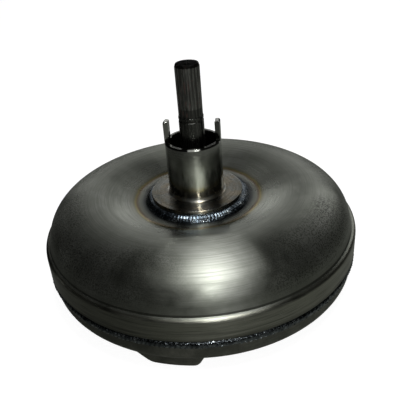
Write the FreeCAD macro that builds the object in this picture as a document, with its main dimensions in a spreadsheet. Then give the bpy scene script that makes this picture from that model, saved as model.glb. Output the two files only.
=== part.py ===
import FreeCAD, Part
import Sketcher
import math
import os

# Torque converter, +Z along its axis towards the drive hub, origin on the axis in the plane
# of the three mounting pads.  Sizes are millimetres and degrees.

DRIVING = [
    # casing
    ("rimRadius", 150.0),        # over the closing weld
    ("weldStand", 3.0),          # how far that weld stands off the cover wall
    ("bandInset", 0.6),          # machined band, below the weld
    ("jointHeight", 33.0),       # where the cover and the shell meet
    ("bandLow", 36.4),
    ("bandHigh", 57.3),
    ("footInset", 4.5),          # rim to the foot of the domed side
    ("shellWall", 3.0),
    ("coverWall", 4.0),
    ("coverCorner", 22.5),
    ("padHeight", 10.0),         # cover face above the pad plane
    ("ribInner", 52.0),          # stamped ring groove in the cover
    ("ribOuter", 66.0),
    ("ribDepth", 2.5),
    ("rimWeldLow", 27.5),
    ("rimWeldHigh", 34.4),
    ("rimWeldRounding", 1.8),
    # dome
    ("landHeight", 81.5),        # flat land that carries the hub
    ("landWidth", 15.6),         # from the hub flange out to the land's edge
    ("apexInset", 45.4),         # rim to the virtual apex of the dome
    ("apexHeight", 95.0),
    ("crestSlope", 24.0),
    ("sideSlope", 76.0),
    ("crestRadius", 60.0),
    ("shoulderRadius", 30.0),
    ("landFillet", 9.0),         # land to the rising dome, and the band's edge below
    ("footFillet", 0.5),
    ("bandShoulder", 3.2),
    ("bandEdge", 0.6),
    # hub
    ("hubRadius", 26.0),
    ("hubWall", 4.5),
    ("hubTop", 141.2),
    ("hubChamfer", 1.4),
    ("flangeWidth", 17.4),
    ("flangeTop", 89.4),
    ("flangeLap", 3.4),          # flange over the shell's edge
    ("hubEnd", 69.0),            # inner end face
    ("tangHeight", 18.0),
    ("tangAngle", 22.0),
    ("tangAzimuth", -9.0),
    ("hubFillet", 4.0),
    ("hubMouth", 0.7),
    ("flangeChamfer", 0.8),
    ("tangOuterBevel", 2.4),     # heights of the bevels on a tang's end, then their depths
    ("tangInnerBevel", 1.2),
    ("tangOuterCut", 1.3),
    ("tangInnerCut", 0.8),
    ("hubWeldHeight", 4.9),
    ("hubWeldWidth", 7.0),
    # mounting pads
    ("padCount", 3.0),
    ("padPitchRadius", 127.0),
    ("padDepth", 28.0),
    ("padWidth", 40.0),
    ("padSteepRun", 8.0),
    ("padRampRun", 22.0),
    ("padAzimuth", -102.5),
    ("threadRadius", 4.25),
    ("insertRadius", 9.0),
    ("insertHeight", 12.5),
    ("padTop", 24.0),            # where its flanks end, inside the cover's rounded corner
    ("padRampFillet", 14.0),
    ("padSteepFillet", 7.0),
    ("padRimFillet", 3.0),
    ("boreMouth", 1.0),
    # crank pilot and the bush in it
    ("pilotRadius", 20.0),
    ("pilotTip", 2.0),
    ("pilotSpigot", 15.0),
    ("pilotGuideEnd", 7.0),      # where the guiding face gives way to the weld's recess
    ("pilotNeck", 19.0),
    ("pilotChamfer", 1.0),
    ("pilotWeldDepth", 2.5),
    ("pilotWeldWidth", 3.5),
    ("bushRadius", 9.0),
    ("bushLow", 7.0),
    # input shaft
    ("shaftRadius", 11.4),
    ("splineRadius", 11.0),
    ("splineDepth", 1.05),
    ("splineTeeth", 20.0),
    ("splineStart", 164.5),
    ("splineGapMouth", 1.18),    # half widths of a gap
    ("splineGapFoot", 0.5),
    ("splineLead", 2.6),
    ("splineRunout", 3.5),
    ("shaftTop", 211.0),
    ("noseRadius", 7.0),
    ("noseEnd", 7.5),
    ("centreHole", 1.3),
    ("centreDepth", 2.2),
    ("shaftGroove", 0.5),
    ("runGap", 0.1),             # running fit on a radius
    # torus
    ("midHeight", 52.0),
    ("halfGap", 1.5),
    ("coreRadius", 15.0),
    ("coreWall", 1.5),
    ("bladeWall", 1.2),
    ("bladeBend", 150.0),        # radius of a blade's sheet
    ("impellerBlades", 31.0),
    ("turbineBlades", 29.0),
    ("turbineWall", 2.0),
    ("turbineInset", 9.5),       # rim to the turbine's edge
    ("turbineLand", 25.5),
    ("turbineApex", 12.6),
    ("turbineShoulder", 22.0),
    ("turbineCrestSlope", 20.0),
    ("turbineSideSlope", 78.0),
    ("turbineBolt", 50.0),
    ("rivetCount", 12.0),
    ("rivetShank", 3.0),
    ("rivetHead", 5.0),
    ("rivetHeadHeight", 1.8),
    # turbine hub
    ("turbineHubLow", 17.0),
    ("turbineHubHigh", 33.0),
    ("turbineHubRadius", 38.5),
    ("turbineFlange", 57.0),
    ("turbineFlangeThick", 5.0),
    ("washerThick", 2.5),
    ("washerInner", 22.0),
    ("washerOuter", 34.0),
    ("washerGroove", 1.5),
    # stator and its one-way clutch
    ("raceRadius", 25.0),
    ("raceBore", 17.5),
    ("rollerRadius", 3.5),
    ("rollerCount", 10.0),
    ("camRadius", 39.0),
    ("statorHub", 46.0),
    ("statorRing", 85.0),
    ("statorBlades", 15.0),
    ("raceTeeth", 24.0),
    ("springHeight", 12.0),
    ("springThick", 0.8),
    ("springSwing", 1.0),
    ("springPitch", 0.62),
    ("bearingNeedle", 1.0),
    ("needleCount", 24.0),
    ("sideGap", 0.3),
    ("plateThick", 2.5),
    ("racePlate", 1.2),
]

doc = FreeCAD.newDocument("TorqueConverter")
sheet = doc.addObject("Spreadsheet::Sheet", "Sizes")
for row, (alias, number) in enumerate(DRIVING, start=1):
    sheet.set("A%d" % row, alias)
    sheet.set("B%d" % row, str(number))
    sheet.setAlias("B%d" % row, alias)
doc.recompute()


class Size:
    """A number and the expression that gives it, so that sums of cells can be bound."""

    def __init__(self, value, text):
        self.value = float(value)
        self.text = text

    def joined(self, other, sign, flip=False):
        other = size(other)
        left, right = (other, self) if flip else (self, other)
        value = {"+": left.value + right.value, "-": left.value - right.value,
                 "*": left.value * right.value, "/": left.value / (right.value or 1.0)}[sign]
        return Size(value, "(%s %s %s)" % (left.text, sign, right.text))

    def __add__(self, other):
        return self.joined(other, "+")

    def __sub__(self, other):
        return self.joined(other, "-")

    def __mul__(self, other):
        return self.joined(other, "*")

    def __truediv__(self, other):
        return self.joined(other, "/")

    def __rsub__(self, other):
        return self.joined(other, "-", flip=True)

    def __rtruediv__(self, other):
        return self.joined(other, "/", flip=True)

    __radd__ = __add__
    __rmul__ = __mul__


def size(number):
    return number if isinstance(number, Size) else Size(number, repr(float(number)))


class Cells:
    """The sheet's cells by name."""


c = Cells()
for alias, number in DRIVING:
    setattr(c, alias, Size(sheet.get(alias), "Sizes." + alias))

# sizes that several pieces share
coverRadius = c.rimRadius - c.weldStand
bandRadius = c.rimRadius - c.bandInset
innerRadius = coverRadius - c.coverWall
coverInside = c.padHeight + c.coverWall
hubBore = c.hubRadius - c.hubWall
flangeRadius = c.hubRadius + c.flangeWidth
seatRadius = flangeRadius - c.flangeLap
landRadius = flangeRadius + c.landWidth
apexRadius = c.rimRadius - c.apexInset
turbineEdge = c.rimRadius - c.turbineInset
raceLow = c.turbineHubHigh
bearingLow = raceLow + c.racePlate + c.sideGap
plateLow = bearingLow + c.bearingNeedle * 2 + c.sideGap
statorHigh = c.hubEnd - c.racePlate - c.sideGap * 2 - c.bearingNeedle * 2
clutchLow = plateLow + c.plateThick + c.sideGap
clutchHigh = statorHigh - c.plateThick - c.sideGap
plateBore = c.raceRadius + 1.0
bearingIn = c.raceRadius + 1.8
bearingOut = c.turbineHubRadius - 1.2
rollerPitch = c.raceRadius + c.rollerRadius + c.sideGap

NODES = []


def keep(piece, label):
    """Names a finished sub-part, which is then written to a file of that name."""
    piece.Label = label
    NODES.append(piece)
    return piece


def plane(body, role):
    return [f for f in body.Origin.OriginFeatures if f.Role == role][0]


def outline(body, name, points, role="XZ_Plane", lift=None):
    """A closed sketch through the points; both coordinates of each corner are bound."""
    sketch = body.newObject("Sketcher::SketchObject", name)
    sketch.AttachmentSupport = (plane(body, role), "")
    sketch.MapMode = "FlatFace"
    if lift is not None:
        sketch.setExpression("AttachmentOffset.Base.z", lift.text)
    corners = [(size(x), size(y)) for x, y in points]
    count = len(corners)
    vectors = [FreeCAD.Vector(x.value, y.value, 0) for x, y in corners]
    for i in range(count):
        sketch.addGeometry(Part.LineSegment(vectors[i], vectors[(i + 1) % count]), False)
    for i in range(count):
        sketch.addConstraint(Sketcher.Constraint("Coincident", i, 2, (i + 1) % count, 1))
    for i, (x, y) in enumerate(corners):
        bind_corner(sketch, i, "DistanceX", x, -2)
        bind_corner(sketch, i, "DistanceY", y, -1)
    return sketch


def bind_corner(sketch, corner, kind, value, axis):
    if abs(value.value) < 1e-9:
        sketch.addConstraint(Sketcher.Constraint("PointOnObject", corner, 1, axis))
        return
    index = sketch.addConstraint(Sketcher.Constraint(kind, -1, 1, corner, 1, value.value))
    sketch.setExpression("Constraints[%d]" % index, value.text)


def turned(name, points):
    """A body turned about Z from a closed outline of radius and height."""
    body = doc.addObject("PartDesign::Body", name)
    sketch = outline(body, name + "_outline", points)
    turn = body.newObject("PartDesign::Revolution", name + "_turn")
    turn.Profile = sketch
    turn.ReferenceAxis = (sketch, ["V_Axis"])
    turn.Angle = 360.0
    doc.recompute()
    return body


def ring_points(inner, outer, low, high):
    return [(inner, low), (outer, low), (outer, high), (inner, high)]


def circles_at(shape, radius, height):
    """Names of the circular edges about Z with that radius and height."""
    found = []
    for i, edge in enumerate(shape.Edges, start=1):
        box = edge.BoundBox
        if abs(box.ZMax - box.ZMin) > 1e-4 or abs(box.ZMax - height) > 1e-3:
            continue
        middle = edge.valueAt((edge.FirstParameter + edge.LastParameter) / 2)
        if abs(math.hypot(middle.x, middle.y) - radius) < 1e-3 and edge.Curve.TypeId == "Part::GeomCircle":
            found.append("Edge%d" % i)
    return found


def eased(body, kind, name, amount, places):
    """A fillet or chamfer on the turned edges at the places, each a radius and a height."""
    base = body.Tip
    names = []
    for radius, height in places:
        names += circles_at(base.Shape, size(radius).value, size(height).value)
    feature = body.newObject("PartDesign::" + kind, name)
    feature.Base = (base, names)
    feature.setExpression("Radius" if kind == "Fillet" else "Size", size(amount).text)
    doc.recompute()
    return feature


def patterned(body, feature, sketch, name, count):
    pattern = body.newObject("PartDesign::PolarPattern", name)
    pattern.Originals = [feature]
    pattern.Axis = (sketch, ["N_Axis"])
    pattern.Angle = 360.0
    pattern.setExpression("Occurrences", size(count).text)
    body.Tip = pattern
    doc.recompute()
    return pattern


def slotted(body, name, points, lift, length, count):
    """Slots cut downwards from the height lift, repeated about Z."""
    before = body.Shape.Volume
    sketch = outline(body, name + "_outline", points, role="XY_Plane", lift=lift)
    slot = body.newObject("PartDesign::Pocket", name)
    slot.Profile = sketch
    slot.setExpression("Length", length.text)
    doc.recompute()
    patterned(body, slot, sketch, name + "_ring", count)
    if body.Shape.Volume >= before:
        raise RuntimeError(name + " cuts nothing")
    return sketch


def turn_body(body, angle):
    body.Placement = FreeCAD.Placement(FreeCAD.Vector(), FreeCAD.Rotation(FreeCAD.Vector(0, 0, 1), 0))
    body.setExpression("Placement.Rotation.Angle", angle.text)


def drawn(name, shape):
    """A sub-part whose shape is worked out below from the sheet's numbers."""
    piece = doc.addObject("Part::Feature", name)
    piece.Shape = shape
    return piece


def rounded(points):
    """Edges through the corners (radius, height, rounding), with arcs at the rounded ones."""
    count = len(points)
    corners = [FreeCAD.Vector(p[0], 0, p[1]) for p in points]
    ends = []
    for i, here in enumerate(corners):
        radius = points[i][2] if len(points[i]) > 2 else 0.0
        before, after = corners[i - 1] - here, corners[(i + 1) % count] - here
        angle = before.getAngle(after)
        reach = radius / math.tan(angle / 2) if radius else 0.0
        limit = 0.47 * min(before.Length, after.Length)
        reach = min(reach, limit) if radius else 0.0
        first = here + before.normalize() * reach
        last = here + after.normalize() * reach
        swell = reach * math.tan(angle / 2)
        middle = here
        if reach:
            inward = (before + after).normalize()
            middle = here + inward * (swell / math.sin(angle / 2) - swell)
        ends.append((first, middle, last))
    edges = []
    for i, (first, middle, last) in enumerate(ends):
        if (last - first).Length > 1e-6:
            edges.append(Part.Arc(first, middle, last).toShape())
        following = ends[(i + 1) % count][0]
        if (following - last).Length > 1e-6:
            edges.append(Part.LineSegment(last, following).toShape())
    return edges


def spun(points):
    """A solid of revolution about Z from rounded corners."""
    face = Part.Face(Part.Wire(rounded(points)))
    return face.revolve(FreeCAD.Vector(), FreeCAD.Vector(0, 0, 1), 360)


def tube(inner, outer, low, high):
    solid = Part.makeCylinder(outer, high - low, FreeCAD.Vector(0, 0, low))
    if inner > 0:
        solid = solid.cut(Part.makeCylinder(inner, high - low + 2, FreeCAD.Vector(0, 0, low - 1)))
    return solid


def around(shape, count, first=0.0):
    """Copies of a solid, evenly spaced about Z."""
    copies = []
    for i in range(int(round(count))):
        copy = shape.copy()
        copy.rotate(FreeCAD.Vector(), FreeCAD.Vector(0, 0, 1), first + 360.0 * i / count)
        copies.append(copy)
    return Part.makeCompound(copies)


def crossing(point_a, slope_a, point_b, slope_b):
    """Where two lines cross; a slope is the angle below the horizontal, going outwards."""
    ta, tb = -math.tan(math.radians(slope_a)), -math.tan(math.radians(slope_b))
    radius = (point_b[1] - point_a[1] + ta * point_a[0] - tb * point_b[0]) / (ta - tb)
    return radius, point_a[1] + ta * (radius - point_a[0])


def dome(land_r, land_h, apex_r, apex_h, crest, side, foot_r, foot_h, inset):
    """Corners of a domed pressing, or of its face set in by the sheet's thickness."""
    cone = -math.degrees(math.atan2(apex_h - land_h, apex_r - land_r))

    def moved(point, slope):
        lean = math.radians(slope)
        return point[0] - inset * math.sin(lean), point[1] - inset * math.cos(lean)

    land = moved((land_r, land_h), 0.0)
    climb = moved((land_r, land_h), cone)
    top = moved((apex_r, apex_h), crest)
    foot = moved((foot_r, foot_h), side)
    return [crossing(land, 0.0, climb, cone), crossing(climb, cone, top, crest),
            crossing(top, crest, foot, side), foot]


def impeller_dome(inset):
    return dome(landRadius.value, c.landHeight.value, apexRadius.value, c.apexHeight.value,
                c.crestSlope.value, c.sideSlope.value, c.rimRadius.value - c.footInset.value,
                c.bandHigh.value, inset)


def turbine_dome(inset):
    """The same form upside down: heights are measured downwards."""
    return dome(landRadius.value + 1.0, -c.turbineLand.value, apexRadius.value, -c.turbineApex.value,
                c.turbineCrestSlope.value, c.turbineSideSlope.value, turbineEdge.value,
                c.halfGap.value - c.midHeight.value, inset)


# casing

def front_cover():
    low, high = c.padHeight.value, c.jointHeight.value
    corner, wall = c.coverCorner.value, c.coverWall.value
    rib_in, rib_out, rib = c.ribInner.value, c.ribOuter.value, c.ribDepth.value
    rib_fillet = rib * 1.2
    hole = c.pilotSpigot.value
    dish = spun([(hole, low), (rib_in, low), (rib_in + rib, low + rib, rib_fillet),
                 (rib_out - rib, low + rib, rib_fillet), (rib_out, low), (coverRadius.value, low, corner),
                 (coverRadius.value, high), (innerRadius.value, high),
                 (innerRadius.value, low + wall, corner - wall), (hole, low + wall)])
    room = spun([(0, low + wall), (innerRadius.value, low + wall, corner - wall),
                 (innerRadius.value, high), (0, high)])
    pads = around(pad_block().cut(room), c.padCount.value, c.padAzimuth.value)
    cover = dish.fuse(pads.Solids).removeSplitter()
    holes = around(insert_solid(0.0), c.padCount.value, c.padAzimuth.value)
    return keep(drawn("FrontCover", cover.cut(holes.Solids)), "front_cover")


def pad_block():
    """One pad on the +X axis: a steep flank, a flat face and a long ramp, cut to the rim."""
    half = c.padWidth.value / 2
    depth = c.padDepth.value
    top = c.padTop.value
    rise = top / coverInside.value
    inner = c.padPitchRadius.value - depth / 2
    outer = inner + depth
    corners = [(-half - c.padRampRun.value * rise, top), (-half, 0.0, c.padRampFillet.value),
               (half, 0.0, c.padSteepFillet.value), (half + c.padSteepRun.value * rise, top)]
    face = Part.Face(Part.Wire(rounded(corners)))
    block = face.extrude(FreeCAD.Vector(0, -2 * depth, 0))
    block.translate(FreeCAD.Vector(0, -inner, 0))
    block.rotate(FreeCAD.Vector(), FreeCAD.Vector(0, 0, 1), 90)
    block = block.common(tube(0.0, outer, -1.0, top + 1.0))
    rims = [edge for edge in block.Edges if on_pad_rim(edge, outer, coverInside.value)]
    return block.makeFillet(c.padRimFillet.value, rims)


def on_pad_rim(edge, outer, top):
    """True for the edges round a pad's outer face, apart from its upper one."""
    middle = edge.valueAt((edge.FirstParameter + edge.LastParameter) / 2)
    return abs(math.hypot(middle.x, middle.y) - outer) < 0.01 and edge.BoundBox.ZMin < top


def insert_solid(bore):
    """A round threaded insert in a pad, or with no bore the hole that it fills."""
    height, mouth = c.insertHeight.value, c.boreMouth.value
    place = FreeCAD.Vector(c.padPitchRadius.value, 0, 0)
    solid = Part.makeCylinder(c.insertRadius.value, height, place)
    if bore:
        solid = solid.cut(Part.makeCylinder(bore, height - 2.0, place))
        solid = solid.cut(Part.makeCone(bore + mouth, bore, mouth, place))
    return solid


def mounting_inserts():
    shape = around(insert_solid(c.threadRadius.value), c.padCount.value, c.padAzimuth.value)
    return keep(drawn("MountingInserts", shape), "mounting_inserts")


def crank_pilot():
    points = [(0, c.pilotTip), (c.pilotRadius, c.pilotTip), (c.pilotRadius, c.pilotGuideEnd),
              (c.pilotNeck, c.pilotGuideEnd), (c.pilotNeck, c.padHeight), (c.pilotSpigot, c.padHeight),
              (c.pilotSpigot, coverInside),
              (c.bushRadius, coverInside), (c.bushRadius, c.bushLow),
              (c.bushRadius - 1.0, c.bushLow - 1.0), (0, c.bushLow - 1.0)]
    body = turned("CrankPilot", points)
    eased(body, "Chamfer", "CrankPilot_chamfer", c.pilotChamfer, [(c.pilotRadius, c.pilotTip)])
    return keep(body, "crank_pilot")


def pilot_bush():
    bore = c.noseRadius + c.runGap
    body = turned("PilotBush", ring_points(bore, c.bushRadius, c.bushLow, coverInside))
    eased(body, "Chamfer", "PilotBush_chamfer", 0.6, [(bore, coverInside)])
    return keep(body, "pilot_bush")


def bead(name, label, points):
    return keep(drawn(name, spun(points)), label)


def pilot_weld():
    radius, face = c.pilotNeck.value, c.padHeight.value
    deep, wide = c.pilotWeldDepth.value, c.pilotWeldWidth.value
    return bead("PilotWeld", "pilot_weld", [(radius, face), (radius, face - deep, 0.6),
                                            (radius + wide - 0.5, face - 1.0, 0.6), (radius + wide, face)])


def rim_weld():
    """Closing weld; its inner corners follow the cover's rounded corner."""
    wall, rim = coverRadius.value, c.rimRadius.value
    low, high, joint = c.rimWeldLow.value, c.rimWeldHigh.value, c.jointHeight.value
    rounding = c.rimWeldRounding.value
    corner = c.coverCorner.value
    centre = c.padHeight.value + corner
    drop = max(0.0, centre - low)
    heel = wall - corner + math.sqrt(corner ** 2 - drop ** 2)
    section = [(heel, low), (rim, low + 1.0, rounding), (rim, high - 1.0, rounding), (wall, high),
               (wall, joint), (wall, max(centre, low + 0.1))]
    solid = spun(section)
    inside = spun([(0, c.padHeight.value), (wall, c.padHeight.value, corner), (wall, joint), (0, joint)])
    return keep(drawn("RimWeld", solid.cut(inside)), "rim_weld")


def hub_weld():
    """Fillet weld that runs up the flange's side."""
    edge, land = flangeRadius.value, c.landHeight.value
    high, wide = c.hubWeldHeight.value, c.hubWeldWidth.value
    return bead("HubWeld", "hub_weld", [(edge, land), (edge, land + high), (edge + 1.4, land + high, 1.2),
                                        (edge + wide * 0.62, land + high * 0.72, 3.0), (edge + wide, land)])


def impeller_shell():
    outer, inner = impeller_dome(0.0), impeller_dome(c.shellWall.value)
    crest, shoulder, wall = c.crestRadius.value, c.shoulderRadius.value, c.shellWall.value
    seat, land = seatRadius.value, c.landHeight.value
    band, foot = bandRadius.value, c.bandHigh.value
    hollow, drop, edge = c.landFillet.value, c.bandShoulder.value, c.bandEdge.value
    points = [(seat, land), outer[0] + (hollow,), outer[1] + (crest,), outer[2] + (shoulder,),
              outer[3] + (c.footFillet.value,), (band, foot - edge, drop), (band, c.bandLow.value, edge),
              (coverRadius.value, c.bandLow.value - 2 * edge, edge),
              (coverRadius.value, c.jointHeight.value), (innerRadius.value, c.jointHeight.value),
              (innerRadius.value, foot - 2 * drop), inner[3], inner[2] + (shoulder - wall,),
              inner[1] + (crest - wall,), inner[0] + (hollow + wall,), (seat, land - wall)]
    return keep(drawn("ImpellerShell", spun(points)), "impeller_shell")


def impeller_hub():
    """Hub sleeve, its flange and the two drive tangs, turned from one forging."""
    mouth = c.hubMouth
    points = [(hubBore, c.hubEnd), (seatRadius, c.hubEnd), (seatRadius, c.landHeight),
              (flangeRadius, c.landHeight), (flangeRadius, c.flangeTop), (c.hubRadius, c.flangeTop),
              (c.hubRadius, c.hubTop - c.hubChamfer), (c.hubRadius - c.hubChamfer, c.hubTop),
              (hubBore + mouth, c.hubTop), (hubBore, c.hubTop - mouth)]
    body = turned("ImpellerHub", points)
    eased(body, "Fillet", "ImpellerHub_root", c.hubFillet, [(c.hubRadius, c.flangeTop)])
    eased(body, "Chamfer", "ImpellerHub_edge", c.flangeChamfer, [(flangeRadius, c.flangeTop)])
    tip = c.hubTop + c.tangHeight
    root = c.hubTop - c.hubChamfer - 1.0
    sketch = outline(body, "ImpellerHub_tang_outline",
                     [(hubBore, root), (c.hubRadius, root), (c.hubRadius, tip - c.tangOuterBevel),
                      (c.hubRadius - c.tangOuterCut, tip), (hubBore + c.tangInnerCut, tip),
                      (hubBore, tip - c.tangInnerBevel)])
    tang = body.newObject("PartDesign::Revolution", "ImpellerHub_tang")
    tang.Profile = sketch
    tang.ReferenceAxis = (sketch, ["V_Axis"])
    tang.Midplane = True
    tang.setExpression("Angle", c.tangAngle.text)
    doc.recompute()
    pair = body.newObject("PartDesign::PolarPattern", "ImpellerHub_tangs")
    pair.Originals = [tang]
    pair.Axis = (sketch, ["V_Axis"])
    pair.Angle = 360.0
    pair.Occurrences = 2
    body.Tip = pair
    turn_body(body, c.tangAzimuth)
    doc.recompute()
    return keep(body, "impeller_hub")


# torus members

def cavity(corners, low, sign, crest, shoulder):
    """Solid inside a dome, from its inner face down to the flat edge."""
    land, apex, side, foot = corners
    start = land[0] + 4.0
    climb = (apex[1] - land[1]) / (apex[0] - land[0])
    points = [(start, low), (start, land[1] + (start - land[0]) * climb), apex + (crest,),
              side + (shoulder,)]
    if foot[1] > low:
        points += [foot, (foot[0], low)]
    else:
        lean = (side[0] - foot[0]) / (side[1] - foot[1])
        points.append((foot[0] + lean * (low - foot[1]), low))
    return spun([(p[0], sign * p[1]) + tuple(p[2:]) for p in points])


def core_solid(sign, radius):
    """The round middle of the torus that the flow goes round."""
    ball = Part.makeTorus(apexRadius.value, radius)
    ball.translate(FreeCAD.Vector(0, 0, c.midHeight.value + sign * c.halfGap.value))
    return ball


def core_ring(name, label, sign):
    edge = c.midHeight.value + sign * c.halfGap.value
    radius = c.coreRadius.value
    ring = core_solid(sign, radius).cut(core_solid(sign, radius - c.coreWall.value))
    low = edge if sign > 0 else edge - 2 * radius
    half = tube(apexRadius.value - 2 * radius, apexRadius.value + 2 * radius, low, low + 2 * radius)
    return keep(drawn(name, ring.common(half)), label)


def blades(name, label, space, sign, count, bend):
    """Curved blades between the pressing and the core ring, cut from upright arcs of sheet."""
    edge = c.midHeight.value + sign * c.halfGap.value
    inlet_r = apexRadius.value - c.coreRadius.value - 1.1
    high = edge + sign * 45.0
    step = edge + sign * (c.coreRadius.value - 1.5)
    wedge = spun([(1.0, edge - sign * 2), (inlet_r, edge - sign * 2), (inlet_r, step),
                  (inlet_r - 30.0, high), (1.0, high)])
    space = space.cut(wedge).cut(core_solid(sign, c.coreRadius.value))
    radius, half = c.bladeBend.value, c.bladeWall.value / 2
    centre = FreeCAD.Vector(apexRadius.value * 0.9, bend * radius, 0)
    tall, reach = c.hubTop.value, c.rimRadius.value
    strip = Part.makeCylinder(radius + half, tall, centre).cut(Part.makeCylinder(radius - half, tall, centre))
    window = Part.makeBox(reach, reach, tall, FreeCAD.Vector(0, -reach / 2, 0))
    one = space.common(strip.common(window))
    solid = max(one.Solids, key=lambda s: s.Volume)
    return keep(drawn(name, around(solid, count)), label)


def impeller_blades():
    wall = c.shellWall.value
    space = cavity(impeller_dome(wall), c.midHeight.value + c.halfGap.value, 1,
                   c.crestRadius.value - wall, c.shoulderRadius.value - wall)
    blades("ImpellerBlades", "impeller_blades", space, 1, c.impellerBlades.value, -1)


def turbine_blades():
    wall = c.turbineWall.value
    space = cavity(turbine_dome(wall), c.halfGap.value - c.midHeight.value, -1,
                   c.crestRadius.value - wall, c.turbineShoulder.value - wall)
    blades("TurbineBlades", "turbine_blades", space, -1, c.turbineBlades.value, 1)


def turbine_shell():
    outer, inner = turbine_dome(0.0), turbine_dome(c.turbineWall.value)
    crest, shoulder, wall = c.crestRadius.value, c.turbineShoulder.value, c.turbineWall.value
    bore, land, hollow = c.turbineHubRadius.value, c.turbineLand.value, c.landFillet.value
    points = [(bore, -land), outer[0] + (hollow,), outer[1] + (crest,), outer[2] + (shoulder,), outer[3],
              inner[3], inner[2] + (shoulder - wall,), inner[1] + (crest - wall,),
              inner[0] + (hollow + wall,), (bore, -land - wall)]
    flipped = [(p[0], -p[1]) + tuple(p[2:]) for p in points]
    return keep(drawn("TurbineShell", spun(flipped).cut(rivet_holes().Solids)), "turbine_shell")


def rivet_holes():
    """Cylinders that the turbine hub and its pressing are drilled with."""
    low = c.turbineLand.value - 2 * c.turbineFlangeThick.value
    place = FreeCAD.Vector(c.turbineBolt.value, 0, low)
    drill = Part.makeCylinder(c.rivetShank.value, 4 * c.turbineFlangeThick.value, place)
    return around(drill, c.rivetCount.value)


def spline_gap(tip, depth, wide, narrow):
    """A slot on +X, wide at its mouth, for a tooth or the gap between two teeth."""
    mouth = tip + depth * 0.3
    below_narrow, below_wide = size(0.0) - narrow, size(0.0) - wide
    return [(tip - depth, below_narrow), (mouth, below_wide), (mouth, wide), (tip - depth, narrow)]


def turbine_hub():
    bore = c.splineRadius - c.splineDepth + 0.15
    low, high, radius = c.turbineHubLow, c.turbineHubHigh, c.turbineHubRadius
    flange_low = c.turbineLand - c.turbineFlangeThick
    points = [(bore, low), (radius - 2.0, low), (radius, flange_low), (c.turbineFlange, flange_low),
              (c.turbineFlange, c.turbineLand), (radius, c.turbineLand), (radius, high), (bore, high)]
    body = turned("TurbineHub", points)
    eased(body, "Chamfer", "TurbineHub_mouth", 0.8, [(bore, high), (bore, low)])
    mouth, foot = c.splineGapMouth + 0.17, c.splineGapFoot + 0.22
    slotted(body, "TurbineHub_slot",
            [(bore - 1.0, size(0.0) - mouth), (c.splineRadius + c.runGap, size(0.0) - foot),
             (c.splineRadius + c.runGap, foot), (bore - 1.0, mouth)],
            high + 1.0, high - low + 2.0, c.splineTeeth)
    return keep(drawn("TurbineHub_drilled", body.Shape.cut(rivet_holes().Solids)), "turbine_hub")


def turbine_rivets():
    """Rivets that hold the pressing to the turbine hub."""
    low = c.turbineLand.value - c.turbineFlangeThick.value
    high = c.turbineLand.value + c.turbineWall.value
    shank_r, head_r, head_h = c.rivetShank.value, c.rivetHead.value, c.rivetHeadHeight.value
    place = c.turbineBolt.value
    shank = Part.makeCylinder(shank_r, high - low, FreeCAD.Vector(place, 0, low))
    head = Part.makeCylinder(head_r, head_h, FreeCAD.Vector(place, 0, low - head_h))
    button = Part.makeSphere(head_r, FreeCAD.Vector(place, 0, high - shank_r))
    button = button.common(Part.makeCylinder(2 * head_r, head_r, FreeCAD.Vector(place, 0, high)))
    rivets = around(shank.fuse([head, button]), c.rivetCount.value)
    return keep(drawn("TurbineRivets", rivets), "turbine_rivets")


def turbine_washer():
    low = c.turbineHubLow - c.washerThick
    body = turned("TurbineWasher", ring_points(c.washerInner, c.washerOuter, low, c.turbineHubLow))
    inner, outer, half = c.washerInner - 1.0, c.washerOuter + 1.0, c.washerGroove
    below = size(0.0) - half
    slotted(body, "TurbineWasher_groove", [(inner, below), (outer, below), (outer, half), (inner, half)],
            low + 1.0, size(1.0), 6)
    return keep(body, "turbine_thrust_washer")


# shaft

def input_shaft():
    top, tip, radius = c.shaftTop, c.splineRadius, c.shaftRadius
    root = tip - c.splineDepth
    tail_low, tail_high = c.turbineHubLow, c.turbineHubHigh + 1.0
    start, groove = c.splineStart, radius - c.shaftGroove
    points = [(0, c.noseEnd), (c.noseRadius - 0.8, c.noseEnd), (c.noseRadius, c.noseEnd + 0.8),
              (c.noseRadius, tail_low - 0.5), (root - 0.4, tail_low + 0.5), (tip, tail_low + 2.0),
              (tip, tail_high), (radius, tail_high + 1.0), (radius, start - 5.0),
              (groove, start - 4.4), (groove, start - 3.2), (radius, start - 2.6),
              (radius, start - 0.6), (tip, start), (tip, top - c.splineLead), (tip - 1.0, top),
              (c.centreHole, top), (0, top - c.centreDepth)]
    body = turned("InputShaft", points)
    gap = spline_gap(tip, c.splineDepth, c.splineGapMouth, c.splineGapFoot)
    slotted(body, "InputShaft_spline", gap, top + 1.0, top - start, c.splineTeeth)
    runout(body)
    slotted(body, "InputShaft_tail", gap, tail_high + 0.5, tail_high - tail_low + 1.0, c.splineTeeth)
    turn_body(body, 180.0 / c.splineTeeth)
    doc.recompute()
    return keep(body, "input_shaft")


def runout(body):
    """The sloping end of each spline gap, where the cutter lifts out."""
    tip, root = c.splineRadius, c.splineRadius - c.splineDepth
    start = c.splineStart
    sketch = outline(body, "InputShaft_runout_outline",
                     [(root, start + 1.5), (tip + 1.0, start + 1.5),
                      (tip + 1.0, start + 1.5 - c.splineRunout)])
    cut = body.newObject("PartDesign::Groove", "InputShaft_runout")
    cut.Profile = sketch
    cut.ReferenceAxis = (sketch, ["V_Axis"])
    cut.Midplane = True
    cut.Angle = 9.0
    doc.recompute()
    ring = body.newObject("PartDesign::PolarPattern", "InputShaft_runouts")
    ring.Originals = [cut]
    ring.Axis = (sketch, ["V_Axis"])
    ring.Angle = 360.0
    ring.setExpression("Occurrences", c.splineTeeth.text)
    body.Tip = ring
    doc.recompute()


# stator

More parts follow.
